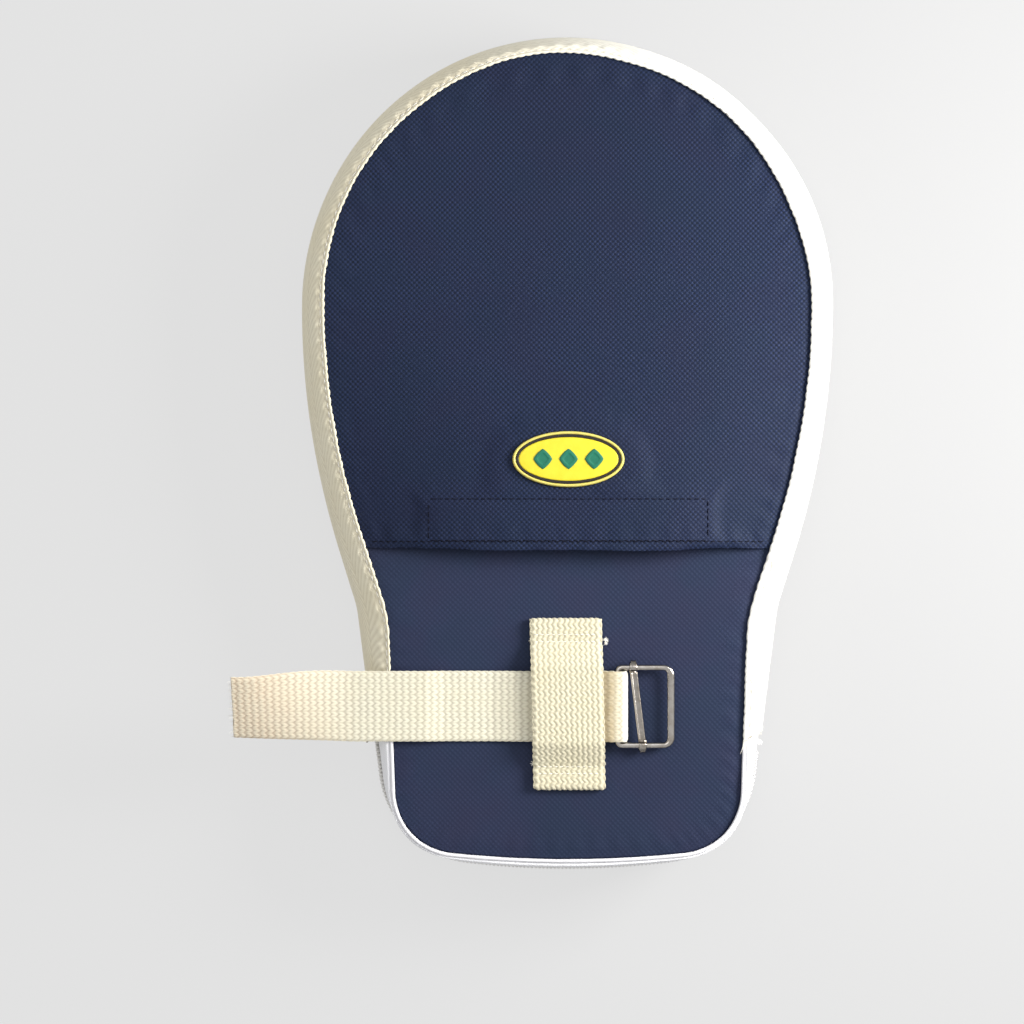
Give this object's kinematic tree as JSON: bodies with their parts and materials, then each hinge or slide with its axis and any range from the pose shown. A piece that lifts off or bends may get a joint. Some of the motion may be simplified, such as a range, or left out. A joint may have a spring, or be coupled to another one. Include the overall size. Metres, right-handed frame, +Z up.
{
  "type": "hand target pad",
  "caption": "Keyhole-shaped padded hand target with a hand pocket, taped side, zipped wrist end and a webbing wrist strap with a wire slide buckle.",
  "frame": {"origin": "on the strike face, under the centre of the round head", "axes": "+Z up through the thickness from the strike face to the hand side, +Y towards the fingertips, +X to the right seen from the hand side; the pad lies on its strike face"},
  "size_m": [0.2136, 0.2993, 0.0525],
  "materials": {
    "navy_cover": "matte",
    "navy_pocket": "matte",
    "lining": "matte",
    "strip_black": "matte",
    "thread_dark": "matte",
    "thread_pale": "matte",
    "strike_cloth": "matte",
    "soft_foam": "matte",
    "dense_foam": "matte",
    "side_tape": "matte",
    "zipper_cloth": "matte",
    "zipper_coil": "satin",
    "zipper_metal": "satin",
    "webbing": "matte",
    "buckle_metal": "satin",
    "badge_rim": "satin",
    "badge_black": "satin",
    "badge_yellow": "satin",
    "badge_green": "satin"
  },
  "bodies": {
    "pad": {"strike_cover": "strike_cloth", "strike_foam": "soft_foam", "impact_core": "dense_foam", "palm_foam": "soft_foam", "back_panel": "navy_cover", "pocket_lining": "lining", "pocket_panel": "navy_pocket", "hook_strip": "strip_black", "loop_strip": "strip_black", "hem_thread": "thread_dark", "side_tape": "side_tape", "tape_thread": "thread_pale", "zipper_piping": "zipper_cloth", "zipper_tape_upper": "zipper_cloth", "zipper_tape_lower": "zipper_cloth", "zipper_coil_upper": "zipper_coil", "zipper_coil_lower": "zipper_coil", "zipper_top_stop": "zipper_metal", "zipper_bottom_stop": "zipper_metal", "strap_keeper": "webbing", "keeper_thread": "thread_pale", "badge_base": "badge_rim", "badge_ring": "badge_black", "badge_field": "badge_yellow", "badge_mark": "badge_green"},
    "strap": {"wrist_strap": "webbing"},
    "tail": {"strap_tail": "webbing"},
    "buckle": {"buckle_frame": "buckle_metal"},
    "slide_bar": {"buckle_slide_bar": "buckle_metal"},
    "zip_slider": {"zipper_slider": "zipper_metal"},
    "zip_pull": {"zipper_pull": "zipper_metal"}
  },
  "joints": [
    {"name": "strap_slide", "type": "slide", "parent": "pad", "child": "strap", "axis": [1, 0, 0], "range_m": [-0.0015, 0.035]},
    {"name": "strap_tail_lift", "type": "hinge", "parent": "strap", "child": "tail", "pos_m": [-0.054, -0.1434, 0.0409], "axis": [0, 1, 0], "range_deg": [0, 100]},
    {"name": "buckle_flip", "type": "hinge", "parent": "strap", "child": "buckle", "pos_m": [0.0173, -0.1434, 0.0412], "axis": [0, -1, 0], "range_deg": [0, 110]},
    {"name": "slide_bar_travel", "type": "slide", "parent": "buckle", "child": "slide_bar", "axis": [1, 0, 0], "range_m": [0, 0.0053]},
    {"name": "zip_slider_travel", "type": "slide", "parent": "pad", "child": "zip_slider", "axis": [0.1271, -0.9919, 0], "range_m": [0, 0.02]},
    {"name": "zip_pull_flip", "type": "hinge", "parent": "zip_slider", "child": "zip_pull", "pos_m": [-0.07347, -0.14489, 0.022], "axis": [0, 0, -1], "range_deg": [0, 170]}
  ]
}
